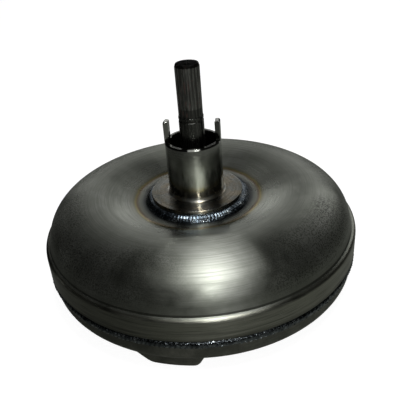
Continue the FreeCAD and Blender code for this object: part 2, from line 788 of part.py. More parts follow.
def stator_wheel():
    """Cast wheel: hub, twisted blades and the ring that closes the torus core."""
    low, high = plateLow.value + 0.8, statorHigh.value - 0.8
    hub = tube(c.camRadius.value, c.statorHub.value, low, high)
    inner = apexRadius.value - c.coreRadius.value
    ring_r = min(c.statorRing.value, inner - 3.5)
    ring = tube(ring_r - 3.0, ring_r, low + 3.0, high - 3.0)
    blade = stator_blade(c.statorHub.value - 1.0, ring_r - 1.5, low + 3.5, high - 3.5)
    parts = [ring] + around(blade, c.statorBlades.value).Solids
    return keep(drawn("StatorWheel", hub.fuse(parts).removeSplitter()), "stator_wheel")


def stator_blade(inner, outer, low, high):
    """One aerofoil, bent so that it turns the returning oil."""
    middle, half = (low + high) / 2, (high - low) / 2
    nose, tail = FreeCAD.Vector(inner, 4.5, low), FreeCAD.Vector(inner, -7.0, high)
    face_mid = FreeCAD.Vector(inner, 2.2, middle + half * 0.15)
    back_mid = FreeCAD.Vector(inner, -2.6, middle - half * 0.1)
    tip = FreeCAD.Vector(inner, -6.2, high)
    edges = [Part.Arc(nose, face_mid, tip).toShape(), Part.LineSegment(tip, tail).toShape(),
             Part.Arc(tail, back_mid, nose).toShape()]
    face = Part.Face(Part.Wire(edges))
    return face.extrude(FreeCAD.Vector(outer - inner, 0, 0))


def clutch_cam():
    """Outer race of the one-way clutch, with a ramped pocket for each roller."""
    ring = tube(rollerPitch.value + 1.6, c.camRadius.value, clutchLow.value, clutchHigh.value)
    seat = Part.makeCylinder(c.rollerRadius.value + 0.15, 60.0,
                             FreeCAD.Vector(rollerPitch.value, 0, clutchLow.value - 1.0))
    spring_seat = Part.makeCylinder(c.rollerRadius.value * 0.75, 60.0,
                                    FreeCAD.Vector(rollerPitch.value + 0.4, 0, clutchLow.value - 1.0))
    spring_seat.rotate(FreeCAD.Vector(), FreeCAD.Vector(0, 0, 1), 10.0)
    pocket = around(seat.fuse(spring_seat), c.rollerCount.value)
    return keep(drawn("ClutchCam", ring.cut(pocket.Solids)), "clutch_cam")


def clutch_rollers():
    height = clutchHigh.value - clutchLow.value - 0.6
    roller = Part.makeCylinder(c.rollerRadius.value, height,
                               FreeCAD.Vector(rollerPitch.value, 0, clutchLow.value + 0.3))
    rims = [edge for edge in roller.Edges if edge.Curve.TypeId == "Part::GeomCircle"]
    roller = roller.makeChamfer(0.4, rims)
    return keep(drawn("ClutchRollers", around(roller, c.rollerCount.value)), "clutch_rollers")


def clutch_springs():
    """Folded leaf springs that press the rollers up their ramps."""
    start = math.degrees(math.asin(c.rollerRadius.value / rollerPitch.value)) + 0.6
    height, thick = c.springHeight.value, c.springThick.value
    swing, pitch = c.springSwing.value, c.springPitch.value
    folds = 5
    middle = (clutchLow.value + clutchHigh.value - height) / 2
    zigzag = [(swing * (-1) ** i, pitch * i) for i in range(folds + 1)]
    near = rollerPitch.value - thick / 2
    there = [FreeCAD.Vector(near + x, y, middle) for x, y in zigzag]
    back = [FreeCAD.Vector(near + x + thick, y, middle) for x, y in reversed(zigzag)]
    strip = Part.Face(Part.makePolygon(there + back + there[:1]))
    spring = strip.extrude(FreeCAD.Vector(0, 0, height))
    return keep(drawn("ClutchSprings", around(spring, c.rollerCount.value, start)), "clutch_springs")


def side_plate(name, label, low):
    body = turned(name, ring_points(plateBore, c.camRadius, low, low + c.plateThick))
    eased(body, "Chamfer", name + "_chamfer", 0.5, [(plateBore, low), (plateBore, low + c.plateThick)])
    return keep(body, label)


def clutch_inner_race():
    """Inner race; its splines hold it to the fixed support tube of the machine."""
    low, high = clutchLow - 1.8, clutchHigh + 1.8
    tip = c.raceBore - 1.0
    body = turned("ClutchInnerRace", ring_points(tip, c.raceRadius, low, high))
    eased(body, "Chamfer", "ClutchInnerRace_chamfer", 0.6, [(c.raceRadius, low), (c.raceRadius, high)])
    slotted(body, "ClutchInnerRace_slot", [(tip - 1.0, -1.3), (c.raceBore, -0.9), (c.raceBore, 0.9),
                                           (tip - 1.0, 1.3)], high + 1.0, high - low + 2.0, c.raceTeeth)
    return keep(body, "clutch_inner_race")


# thrust bearings

def race_washer(name, label, low):
    body = turned(name, ring_points(bearingIn, bearingOut, low, low + c.racePlate))
    eased(body, "Chamfer", name + "_chamfer", 0.3, [(bearingOut, low + c.racePlate), (bearingOut, low)])
    return keep(body, label)


def needle(low, grow):
    radius = c.bearingNeedle.value
    middle = (bearingIn.value + bearingOut.value) / 2
    half = (bearingOut.value - bearingIn.value) / 2 - 1.6
    place = FreeCAD.Vector(middle - half - grow, 0, low + radius)
    return Part.makeCylinder(radius + grow, 2 * (half + grow), place, FreeCAD.Vector(1, 0, 0))


def thrust_bearing(name, label, low):
    """A flat cage and its needles, two sub-parts."""
    radius, count = c.bearingNeedle.value, c.needleCount.value
    ring = tube(bearingIn.value + 0.3, bearingOut.value - 0.3, low + radius - 0.6, low + radius + 0.6)
    windows = around(needle(low, 0.12), count)
    keep(drawn(name + "Cage", ring.cut(windows.Solids)), label + "_cage")
    keep(drawn(name + "Needles", around(needle(low, 0.0), count)), label + "_needles")


# assembly

def build():
    front_cover()
    mounting_inserts()
    crank_pilot()
    pilot_weld()
    pilot_bush()
    impeller_shell()
    rim_weld()
    impeller_hub()
    hub_weld()
    core_ring("ImpellerCoreRing", "impeller_core_ring", 1)
    impeller_blades()
    race_washer("RearRace", "rear_bearing_race", c.hubEnd - c.racePlate)
    turbine_shell()
    core_ring("TurbineCoreRing", "turbine_core_ring", -1)
    turbine_blades()
    turbine_hub()
    turbine_rivets()
    turbine_washer()
    race_washer("FrontRace", "front_bearing_race", raceLow)
    input_shaft()
    stator_wheel()
    clutch_cam()
    clutch_rollers()
    clutch_springs()
    side_plate("FrontPlate", "clutch_front_plate", plateLow)
    side_plate("RearPlate", "clutch_rear_plate", clutchHigh + c.sideGap)
    clutch_inner_race()
    thrust_bearing("Front", "front_bearing", bearingLow.value)
    thrust_bearing("Rear", "rear_bearing", c.hubEnd.value - c.racePlate.value
                   - c.sideGap.value - 2 * c.bearingNeedle.value)


def check():
    """Stops before anything is written if a feature failed or a shape is not sound."""
    for item in doc.Objects:
        if "Invalid" in item.State or "Error" in item.State:
            raise RuntimeError("failed feature: " + item.Name)
    for piece in NODES:
        if piece.Shape.isNull() or not piece.Shape.isValid():
            raise RuntimeError("bad shape: " + piece.Label)
        if not piece.Shape.Solids:
            raise RuntimeError("no solid: " + piece.Label)


def write():
    os.makedirs("parts", exist_ok=True)
    for piece in NODES:
        piece.Shape.exportStep("parts/%s.step" % piece.Label)
        print("%-26s %3d solids %10.0f mm3" % (piece.Label, len(piece.Shape.Solids), piece.Shape.Volume))


build()
doc.recompute()
check()
write()
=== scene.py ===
import math

import bmesh
import bpy
from mathutils import Matrix, Vector, noise


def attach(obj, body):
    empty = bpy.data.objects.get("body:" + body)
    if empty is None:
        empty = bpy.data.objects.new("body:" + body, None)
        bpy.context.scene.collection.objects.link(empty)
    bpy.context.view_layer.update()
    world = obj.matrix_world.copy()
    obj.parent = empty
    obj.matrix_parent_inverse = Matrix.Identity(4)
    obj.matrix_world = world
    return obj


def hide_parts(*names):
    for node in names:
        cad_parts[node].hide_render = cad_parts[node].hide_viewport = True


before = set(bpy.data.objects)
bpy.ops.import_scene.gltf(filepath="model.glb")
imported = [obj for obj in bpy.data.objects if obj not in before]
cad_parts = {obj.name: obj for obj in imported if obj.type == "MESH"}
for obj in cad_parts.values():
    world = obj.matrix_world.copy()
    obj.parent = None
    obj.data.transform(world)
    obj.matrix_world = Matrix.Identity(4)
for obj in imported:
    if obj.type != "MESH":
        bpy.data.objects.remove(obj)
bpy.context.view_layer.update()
print("frame loaded:", len(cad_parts), "nodes")

mm = 0.001
seamGap = 0.004  # mm, points closer than this are one
cadSeam = 0.002  # mm, the same for a copy of a CAD node


# modelling helpers

def clearSelection():
    if bpy.context.mode != "OBJECT":
        bpy.ops.object.mode_set(mode="OBJECT")
    bpy.ops.object.select_all(action="DESELECT")


def editAll(obj, kind="VERT"):
    clearSelection()
    bpy.context.view_layer.objects.active = obj
    obj.select_set(True)
    bpy.ops.object.mode_set(mode="EDIT")
    bpy.ops.mesh.select_mode(type=kind)
    bpy.ops.mesh.select_all(action="SELECT")


def pick(obj, kind, test):
    # in edit mode: leaves only the elements that pass the test selected
    bpy.ops.mesh.select_mode(type=kind)
    bpy.ops.mesh.select_all(action="DESELECT")
    grid = bmesh.from_edit_mesh(obj.data)
    found = {"VERT": grid.verts, "EDGE": grid.edges, "FACE": grid.faces}[kind]
    found.index_update()
    count = 0
    for item in found:
        if test(item):
            item.select_set(True)
            count += 1
    grid.select_flush_mode()
    bmesh.update_edit_mesh(obj.data)
    return count


def roundedPath(corners, pieces=6):
    # corners are (radius, height, rounding) in mm; the rounded ones become arcs
    path = []
    spots = [Vector((c[0], c[1])) for c in corners]
    for i, here in enumerate(spots):
        rounding = corners[i][2] if len(corners[i]) > 2 else 0.0
        steps = corners[i][3] if len(corners[i]) > 3 else pieces
        if not rounding:
            path.append(here)
            continue
        back = (spots[i - 1] - here).normalized()
        on = (spots[(i + 1) % len(spots)] - here).normalized()
        half = back.angle(on) / 2
        reach = rounding / math.tan(half)
        centre = here + (back + on).normalized() * rounding / math.sin(half)
        spoke = here + back * reach - centre
        sweep = (math.pi - 2 * half) * (1 if back.cross(on) < 0 else -1)
        for k in range(steps + 1):
            c, d = math.cos(sweep * k / steps), math.sin(sweep * k / steps)
            path.append(centre + Vector((spoke.x * c - spoke.y * d, spoke.x * d + spoke.y * c)))
    return path


def drawLoop(name, path):
    # one vertex, pulled round the outline until it meets itself again
    clearSelection()
    bpy.ops.mesh.primitive_plane_add(size=mm)
    obj = bpy.context.object
    obj.name = name
    editAll(obj)
    bpy.ops.mesh.merge(type="CENTER")
    last = Vector((0, 0))
    for point in list(path) + [path[0]]:
        step = (point - last) * mm
        if last.length == 0 and point is path[0]:
            bpy.ops.transform.translate(value=(step.x, 0, step.y))
        else:
            bpy.ops.mesh.extrude_region_move(TRANSFORM_OT_translate={"value": (step.x, 0, step.y)})
        last = point
    return obj


def lathe(name, corners, steps, pieces=6):
    obj = drawLoop(name, roundedPath(corners, pieces))
    bpy.ops.mesh.select_all(action="SELECT")
    bpy.ops.mesh.spin(steps=steps, angle=2 * math.pi, center=(0, 0, 0), axis=(0, 0, 1))
    bpy.ops.mesh.select_all(action="SELECT")
    bpy.ops.mesh.remove_doubles(threshold=seamGap * mm)
    bpy.ops.mesh.normals_make_consistent(inside=False)
    bpy.ops.object.mode_set(mode="OBJECT")
    return obj


def smoothed(obj, angle=32):
    clearSelection()
    bpy.context.view_layer.objects.active = obj
    obj.select_set(True)
    bpy.ops.object.shade_smooth_by_angle(angle=math.radians(angle))
    weigh = obj.modifiers.new("weigh", "WEIGHTED_NORMAL")  # broad faces keep flat shading beside fillets
    weigh.keep_sharp = True
    bpy.ops.object.modifier_apply(modifier=weigh.name)
    return obj


def finishPiece(obj, body, nodes, material):
    obj.data.materials.clear()
    obj.data.materials.append(material)
    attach(obj, body)
    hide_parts(*nodes)
    print("piece:", obj.name, len(obj.data.polygons), "faces")
    return obj


def mergedCopy(node, name):
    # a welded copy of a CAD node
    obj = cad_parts[node].copy()
    obj.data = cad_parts[node].data.copy()
    bpy.context.scene.collection.objects.link(obj)
    for key in list(obj.keys()):
        del obj[key]
    obj.parent = None
    obj.matrix_world = Matrix.Identity(4)
    obj.name = name
    editAll(obj)
    bpy.ops.mesh.remove_doubles(threshold=cadSeam * mm)
    bpy.ops.object.mode_set(mode="OBJECT")
    return obj


# shader helpers

class Val:
    # a socket that takes part in Python sums
    def __init__(self, paint, socket):
        self.paint = paint
        self.socket = socket

    def sum(self, kind, first, second):
        return self.paint.node("ShaderNodeMath", {"operation": kind}, {0: first, 1: second})

    def __add__(self, other):
        return self.sum("ADD", self, other)

    def __radd__(self, other):
        return self.sum("ADD", other, self)

    def __sub__(self, other):
        return self.sum("SUBTRACT", self, other)

    def __rsub__(self, other):
        return self.sum("SUBTRACT", other, self)

    def __mul__(self, other):
        return self.sum("MULTIPLY", self, other)

    def __rmul__(self, other):
        return self.sum("MULTIPLY", other, self)

    def __truediv__(self, other):
        return self.sum("DIVIDE", self, other)

    def __pow__(self, other):
        return self.sum("POWER", self, other)


class Paint:
    # one material and the nodes in it
    def __init__(self, name, metallic=1.0, roughness=0.4, grooves=0.0):
        self.material = bpy.data.materials.new(name)
        self.material.use_nodes = True
        self.tree = self.material.node_tree
        self.shader = self.tree.nodes["Principled BSDF"]
        self.shader.inputs["Metallic"].default_value = metallic
        self.shader.inputs["Roughness"].default_value = roughness
        self.shader.inputs["Anisotropic"].default_value = grooves  # fine rings stretch highlights
        self.shader.inputs["Anisotropic Rotation"].default_value = 0.25 if grooves else 0.0  # along the rings
        where = self.tree.nodes.new("ShaderNodeTexCoord")
        self.place = Val(self, where.outputs["Object"])
        self.x = self.node("ShaderNodeSeparateXYZ", {}, {0: self.place})
        split = self.x.socket.node
        self.y = Val(self, split.outputs[1])
        self.z = Val(self, split.outputs[2])
        self.r = self.node("ShaderNodeMath", {"operation": "SQRT"}, {0: self.x * self.x + self.y * self.y})

    def node(self, kind, settings, values, out=0):
        made = self.tree.nodes.new(kind)
        for key, value in settings.items():
            if key == "stops":
                ramp = made.color_ramp
                while len(ramp.elements) < len(value):
                    ramp.elements.new(0.5)
                for element, (at, colour) in zip(ramp.elements, value):
                    element.position = at
                    element.color = colour
            else:
                setattr(made, key, value)
        for key, value in values.items():
            if isinstance(value, Val):
                self.tree.links.new(value.socket, made.inputs[key])
            elif value is not None:
                made.inputs[key].default_value = value
        return Val(self, made.outputs[out])

    def clouds(self, where, scale, detail=3.0, rough=0.5, twist=0.0):
        return self.node("ShaderNodeTexNoise", {}, {"Vector": where, "Scale": scale, "Detail": detail,
                                                    "Roughness": rough, "Distortion": twist})

    def between(self, value, low, high, first=0.0, last=1.0):
        return self.node("ShaderNodeMapRange", {"interpolation_type": "SMOOTHSTEP"},
                         {0: value, 1: low, 2: high, 3: first, 4: last})

    def band(self, value, low, high, soft):
        rise = self.between(value, low - soft, low + soft)
        return rise * self.between(value, high - soft, high + soft, 1.0, 0.0)

    def vector(self, x, y, z):
        return self.node("ShaderNodeCombineXYZ", {}, {0: x, 1: y, 2: z})

    def round(self, along, across):
        # coordinates that run round the axis slowly and across it fast
        return self.vector(self.x / self.r * along, self.y / self.r * along, across)

    def blend(self, amount, first, second, kind="MIX"):
        return self.node("ShaderNodeMix", {"data_type": "RGBA", "blend_type": kind},
                         {0: amount, 6: first, 7: second}, out=2)

    def ramp(self, value, stops):
        return self.node("ShaderNodeValToRGB", {"stops": stops}, {0: value})

    def bump(self, height, distance, strength=1.0, under=None):
        values = {"Height": height, "Strength": strength, "Distance": distance}
        if under is not None:
            values["Normal"] = under
        return self.node("ShaderNodeBump", {}, values)

    def finish(self, **links):
        names = {"colour": "Base Color", "rough": "Roughness", "metal": "Metallic", "normal": "Normal"}
        for key, value in links.items():
            socket = self.shader.inputs[names[key]]
            if isinstance(value, Val):
                self.tree.links.new(value.socket, socket)
            else:
                socket.default_value = value
        return self.material


def grey(level, warm=0.0):
    return (level * (1 + warm), level, level * (1 - warm), 1.0)


# materials

shellLook = {
    "steel": (0.272, 0.285, 0.248, 1), "dark": (0.165, 0.174, 0.148, 1), "bright": (0.41, 0.42, 0.385, 1),
    # the grime colour darkens stains and peel, and also paints shade in the shoulder crease and low on the band
    "bandSteel": (0.335, 0.335, 0.275, 1), "grimeAndShade": (0.060, 0.062, 0.052, 1), "rough": 0.36, "grooves": 0.75,
    "bandLow": 0.0364, "bandHigh": 0.0573, "bandWall": (0.1465, 0.1475),
    "footShadow": (0.0576, 0.0594), "footShadowWall": (0.1435, 0.1445), "bandLowShade": (0.0405, 0.0370),
    "ringScale": 900, "fineRingScale": 3400, "patchScale": 17.0, "peelScale": 780.0, "grainScale": 1500.0,
    "peelHeight": (0.064, 0.100), "peelFrom": (0.098, 0.118), "highlightAt": 0.014, "highlightWidth": (0.0004, 0.0020),
    "tintIn": 0.0505, "tintOut": 0.066, "bump": 0.00012, "relief": 0.55}

# heat colours outwards from the hub weld: blue-black, steel, brown, straw, steel
heatColours = [
    (0.0, (0.030, 0.034, 0.036, 1)), (0.14, (0.16, 0.17, 0.15, 1)), (0.34, (0.22, 0.225, 0.19, 1)),
    (0.56, (0.185, 0.135, 0.085, 1)), (0.70, (0.235, 0.200, 0.075, 1)), (0.84, (0.17, 0.165, 0.115, 1)),
    (1.0, (0.23, 0.235, 0.20, 1))]


def shellPaint(name):
    look = shellLook
    p = Paint(name, grooves=look["grooves"])
    across = p.r - p.z
    rings = p.clouds(p.round(1.6, across * look["ringScale"]), 1.0, 3.0, 0.6)
    fineRings = p.clouds(p.round(5.0, across * look["fineRingScale"]), 1.0, 2.0, 0.6)
    patches = p.clouds(p.place, look["patchScale"], 4.0, 0.6, 0.5)
    peel = p.clouds(p.place, look["peelScale"], 3.0, 0.55)
    grain = p.clouds(p.place, look["grainScale"], 2.0, 0.6)
    # peel texture on the shoulder, left out of a sector in front where the highlight falls: a painted highlight
    # that keeps that sector clean and light
    highlightSpot = (p.x - look["highlightAt"]) ** 2 + p.between(p.y, -0.04, 0.0) * 0.01
    peelZone = p.between(p.clouds(p.place, 14.0, 2.0), 0.32, 0.56) * p.band(p.z, *look["peelHeight"], 0.006)
    peelZone = peelZone * p.between(p.r, *look["peelFrom"]) * p.between(highlightSpot, *look["highlightWidth"])
    onBand = p.band(p.z, look["bandLow"], look["bandHigh"], 0.0006) * p.between(p.r, *look["bandWall"])
    tone = p.ramp(patches, [(0.30, look["dark"]), (0.52, look["steel"]), (0.75, look["bright"])])
    tone = p.blend(p.between(rings, 0.42, 0.68) * 0.45, tone, look["dark"])
    tone = p.blend(onBand * 0.75, tone, look["bandSteel"])
    bandStain = p.clouds(p.round(2.4, p.z * 260), 1.0, 4.0, 0.6)
    tone = p.blend(p.between(fineRings, 0.42, 0.60) * (0.25 + onBand * 0.45), tone, look["dark"])
    tone = p.blend(p.between(bandStain, 0.45, 0.70) * onBand * 0.6, tone, look["grimeAndShade"])
    # painted shadow: a thin dark line in the crease just above the band's rounded shoulder
    footShadow = p.band(p.z, *look["footShadow"], 0.0004) * p.between(p.r, *look["footShadowWall"])
    # painted shade: the band darkens towards its lower edge above the rim weld
    bandLowShade = p.between(p.z, *look["bandLowShade"]) * onBand
    tone = p.blend(footShadow * 0.75 + bandLowShade * 0.5, tone, look["grimeAndShade"])
    tone = p.blend(p.between(peel, 0.46, 0.60) * peelZone * 0.75, tone, look["grimeAndShade"])
    # heat colours beside the hub weld
    wander = p.clouds(p.round(2.2, p.z), 1.0, 2.0) - 0.5
    heat = p.r + wander * 0.006
    tint = p.ramp(p.between(heat, look["tintIn"], look["tintOut"]), heatColours)
    amount = p.between(heat, look["tintIn"] + 0.010, look["tintOut"] + 0.003, 0.92, 0.0)
    tone = p.blend(amount, tone, tint)
    # thin scratches
    bend = p.clouds(p.place, 26.0, 2.0)
    scratch = p.clouds(p.vector(p.x * 60 + bend * 6, p.y * 900 + bend * 60, p.z * 60), 1.0, 1.0)
    marks = p.between(scratch, 0.70, 0.76) * p.between(patches, 0.5, 0.7)
    tone = p.blend(marks * 0.5, tone, look["bright"])
    rough = look["rough"] + p.between(patches, 0.3, 0.7, -0.05, 0.10)
    rough = rough + p.between(peel, 0.4, 0.7) * peelZone * 0.16
    rough = rough + onBand * -0.07 + p.between(rings, 0.4, 0.7) * 0.06 - p.between(p.r, 0.088, 0.075) * 0.11
    height = rings * 0.35 + fineRings * 0.25 * (0.25 + onBand) + peel * peelZone * 1.1 + grain * 0.12
    return p.finish(colour=tone, rough=rough, normal=p.bump(height, look["bump"], look["relief"]))


hubLook = {
    "ground": (0.285, 0.29, 0.27, 1), "flange": (0.25, 0.255, 0.23, 1), "dark": (0.15, 0.155, 0.13, 1),
    "straw": (0.33, 0.24, 0.12, 1), "flangeHigh": 0.0925, "flangeFrom": (0.0265, 0.0280), "grooves": 0.9,
    "rough": 0.08, "hoopScale": 2600, "turnedScale": 1500, "coarseScale": 420, "smearScale": 90.0,
    "bump": 0.00006, "relief": 0.55}


def hubPaint(name):
    look = hubLook
    p = Paint(name, grooves=look["grooves"])
    hoops = p.clouds(p.round(3.0, p.z * look["hoopScale"]), 1.0, 3.0, 0.6)
    turned = p.clouds(p.round(0.8, p.r * look["turnedScale"]), 1.0, 3.0, 0.65)
    coarse = p.clouds(p.round(0.8, p.r * look["coarseScale"]), 1.0, 1.0, 0.5)
    smear = p.clouds(p.place, look["smearScale"], 4.0, 0.6, 0.4)
    onFlange = p.between(p.z, look["flangeHigh"] + 0.001, look["flangeHigh"])
    onFlange = onFlange * p.between(p.r, *look["flangeFrom"])
    tone = p.blend(p.between(smear, 0.45, 0.75) * 0.35, look["ground"], look["dark"])
    plate = p.ramp(turned, [(0.35, look["dark"]), (0.50, look["flange"]), (0.70, grey(0.40, 0.02))])
    plate = p.blend(p.between(coarse, 0.45, 0.60) * 0.4, plate, look["dark"])
    tone = p.blend(onFlange, tone, plate)
    # straw tint low on the sleeve, from the weld's heat
    warmth = p.between(p.z, 0.100, 0.0915) * p.between(smear, 0.40, 0.62) * 0.35
    tone = p.blend(warmth, tone, look["straw"])
    nearRoot = p.between(p.z, look["flangeHigh"] + 0.0025, look["flangeHigh"] - 0.0015) * (1 - onFlange)
    rough = look["rough"] + p.between(hoops, 0.40, 0.70) * 0.04 + p.between(smear, 0.45, 0.75) * 0.04
    rough = rough + onFlange * 0.16
    rough = rough + nearRoot * 0.30
    height = hoops * 0.35 * (1 - onFlange) + (turned * 0.9 + coarse * 1.2) * onFlange
    return p.finish(colour=tone, rough=rough, normal=p.bump(height, look["bump"], look["relief"]))


weldLook = {"clean": (0.26, 0.28, 0.28, 1), "slag": 0.03, "rough": 0.15, "crustScale": 170.0,
            "spotScale": 800.0, "bump": 0.00012, "relief": 0.6}


def weldPaint(name, colour, blue, crusty):
    look = weldLook
    p = Paint(name)
    crust = p.clouds(p.place, look["crustScale"], 3.0, 0.55)
    spots = p.clouds(p.place, look["spotScale"], 3.0, 0.6)
    tone = p.ramp(crust, [(0.32, colour), (0.55, blue), (0.72, look["clean"])])
    tone = p.blend(p.between(spots, 0.50, 0.68) * crusty * 0.6, tone, grey(look["slag"]))
    rough = look["rough"] + p.between(spots, 0.35, 0.70) * (0.10 + crusty * 0.2)
    height = crust + spots * (0.25 + crusty)
    return p.finish(colour=tone, rough=rough, normal=p.bump(height, look["bump"], look["relief"]))


coverLook = {
    "low": (0.115, 0.118, 0.10, 1), "steel": (0.17, 0.175, 0.15, 1), "high": (0.26, 0.26, 0.225, 1),
    "line": (0.09, 0.092, 0.08, 1), "rubbed": grey(0.42, 0.02), "rubbedHeight": (0.0012, 0.0002),
    "rough": 0.46, "grooves": 0.3, "scaleScale": 60.0, "pitScale": 700.0, "ringScale": 800, "bump": 0.00012, "relief": 0.5}


def coverPaint(name):
    look = coverLook
    p = Paint(name, grooves=look["grooves"])
    scale = p.clouds(p.place, look["scaleScale"], 5.0, 0.62, 0.4)
    pits = p.clouds(p.place, look["pitScale"], 3.0, 0.55)
    rings = p.clouds(p.round(1.4, (p.r - p.z) * look["ringScale"]), 1.0, 2.0, 0.5)
    rubbed = p.between(p.z, *look["rubbedHeight"])  # bare steel where the pads stand
    tone = p.ramp(scale, [(0.28, look["low"]), (0.50, look["steel"]), (0.74, look["high"])])
    tone = p.blend(p.between(rings, 0.45, 0.7) * 0.25, tone, look["line"])
    tone = p.blend(rubbed * p.between(scale, 0.35, 0.6) * 0.7, tone, look["rubbed"])
    rough = look["rough"] + p.between(pits, 0.35, 0.7) * 0.18 - rubbed * 0.12
    height = pits * 0.8 + scale * 1.2 + rings * 0.3
    return p.finish(colour=tone, rough=rough, normal=p.bump(height, look["bump"], look["relief"]))


shaftLook = {
    "steel": (0.25, 0.253, 0.235, 1), "dark": (0.045, 0.046, 0.042, 1), "bright": (0.56, 0.565, 0.54, 1),
    # gap is near-black: painted shade in the valleys between the teeth
    "gap": (0.012, 0.012, 0.011, 1), "face": (0.50, 0.50, 0.48, 1), "rust": (0.075, 0.028, 0.018, 1.0),
    "tip": 0.01100, "root": 0.01070, "endHeight": (0.2102, 0.2108), "plainHeight": (0.1652, 0.1640),
    "rustHeight": (0.150, 0.196), "rough": 0.22, "streakScale": (900, 45), "turnedScale": 2400,
    "stainScale": 120.0, "bump": 0.00006, "relief": 0.5}


def shaftPaint(name):
    look = shaftLook
    p = Paint(name)
    fine, long = look["streakScale"]
    streak = p.clouds(p.vector(p.x * fine, p.y * fine, p.z * long), 1.0, 3.0, 0.6)
    turned = p.clouds(p.round(1.5, p.z * look["turnedScale"]), 1.0, 3.0, 0.6)
    stain = p.clouds(p.place, look["stainScale"], 4.0, 0.65, 0.5)
    crown = p.between(p.r, look["root"], look["tip"])
    onEnd = p.between(p.z, *look["endHeight"])
    tone = p.ramp(streak, [(0.28, look["dark"]), (0.50, look["steel"]), (0.80, look["bright"])])
    plain = p.between(p.z, *look["plainHeight"])
    # painted shade: the gaps between the teeth get the near-black gap colour, the crowns the streaked steel
    tone = p.blend(crown, look["gap"], tone)
    tone = p.blend(plain * 0.7, tone, look["dark"])
    rustAt = p.between(stain, 0.50, 0.62) * p.between(crown, 0.85, 0.25)
    rustAt = rustAt * p.band(p.z, *look["rustHeight"], 0.014)
    tone = p.blend(rustAt * 0.75, tone, look["rust"])
    tone = p.blend(onEnd * 0.85, tone, look["face"])
    rough = look["rough"] + p.between(streak, 0.35, 0.7) * 0.12 + rustAt * 0.3
    rough = rough + p.between(crown, 0.9, 0.3) * 0.22 + onEnd * 0.16
    metal = 1 - rustAt * 0.6
    height = turned * 0.4 + streak * 0.5
    normal = p.bump(height, look["bump"], look["relief"])
    return p.finish(colour=tone, rough=rough, metal=metal, normal=normal)


innerLook = {"filmScale": 70.0, "grainScale": 1200.0, "lineScale": 1800, "bump": 0.00008, "relief": 0.5}


def metalPaint(name, light, dark, rough, spin=0.0, metallic=1.0, cast=0.0):
    # the inner parts: turned, stamped or cast metal
    look = innerLook
    p = Paint(name, metallic=metallic)
    film = p.clouds(p.place, look["filmScale"], 4.0, 0.6, 0.3)
    grain = p.clouds(p.place, look["grainScale"], 3.0, 0.6)
    lines = p.clouds(p.round(1.5, (p.r + p.z) * look["lineScale"]), 1.0, 3.0, 0.6)
    tone = p.ramp(film, [(0.30, dark), (0.60, light)])
    tone = p.blend(p.between(lines, 0.45, 0.7) * spin * 0.5, tone, dark)
    finish = rough + p.between(film, 0.35, 0.7) * 0.12 + p.between(lines, 0.4, 0.7) * spin * 0.08
    height = lines * spin + grain * (0.3 + cast * 2.0)
    return p.finish(colour=tone, rough=finish, normal=p.bump(height, look["bump"], look["relief"]))


paints = {
    "shell": shellPaint("spunShellSteel"),
    "hub": hubPaint("groundHubSteel"),
    "hubWeld": weldPaint("hubWeldBead", (0.055, 0.072, 0.088, 1), (0.11, 0.135, 0.155, 1), 0.35),
    "rimWeld": weldPaint("rimWeldBead", (0.045, 0.052, 0.056, 1), (0.15, 0.17, 0.18, 1), 0.6),
    "cover": coverPaint("coverSteel"),
    "shaft": shaftPaint("shaftSteel"),
    "plated": metalPaint("platedSteel", grey(0.52, 0.02), grey(0.34, 0.03), 0.28, 0.4),
    "turned": metalPaint("turnedSteel", grey(0.40, 0.01), grey(0.24, 0.01), 0.26, 1.0),
    "bronze": metalPaint("bushBronze", (0.50, 0.33, 0.15, 1), (0.30, 0.18, 0.07, 1), 0.30, 0.9),
    "sheet": metalPaint("brazedSheet", (0.30, 0.28, 0.26, 1), (0.22, 0.15, 0.11, 1), 0.40, 0.2, cast=0.3),
    "race": metalPaint("bearingSteel", grey(0.62), grey(0.46), 0.12, 0.7),
    "forged": metalPaint("forgedSteel", grey(0.24, 0.02), grey(0.14, 0.02), 0.38, 0.7, cast=0.3),
    "plastic": metalPaint("washerPhenolic", (0.15, 0.075, 0.035, 1), (0.09, 0.045, 0.02, 1), 0.45, 0.3, 0.0),
    "cast": metalPaint("castAluminium", grey(0.62), grey(0.48), 0.42, 0.1, cast=1.0),
    "plate": metalPaint("turnedAluminium", grey(0.60), grey(0.50), 0.30, 1.0),
    "strip": metalPaint("stripSteel", grey(0.36, 0.04), grey(0.24, 0.04), 0.32, 0.2),
}
print("materials:", len(paints))


# casing

shellSizes = {"seat": 40.0, "land": 59.0, "landHeight": 81.5, "apex": (104.6, 95.0), "crest": 60.0,
              "shoulder": 30.0, "crestSlope": 24.0, "sideSlope": 76.0, "foot": (145.5, 57.3),
              "bandRadius": 149.4, "bandLow": 36.4, "neck": 147.0, "joint": 33.0, "inside": 143.0,
              "wall": 3.0, "steps": 288}


def slopeLine(point, slope, inset):
    lean = math.radians(slope)
    return (point[0] - inset * math.sin(lean), point[1] - inset * math.cos(lean)), -math.tan(lean)


def meet(first, second):
    (ax, ay), ta = first
    (bx, by), tb = second
    radius = (by - ay + ta * ax - tb * bx) / (ta - tb)
    return radius, ay + ta * (radius - ax)


def domeCorners(sizes, inset):
    rise = math.degrees(math.atan2(sizes["apex"][1] - sizes["landHeight"], sizes["apex"][0] - sizes["land"]))
    start = (sizes["land"], sizes["landHeight"])
    land = slopeLine(start, 0.0, inset)
    climb = slopeLine(start, -rise, inset)
    top = slopeLine(sizes["apex"], sizes["crestSlope"], inset)
    side = slopeLine(sizes["foot"], sizes["sideSlope"], inset)
    return [meet(land, climb), meet(climb, top), meet(top, side), side[0]]


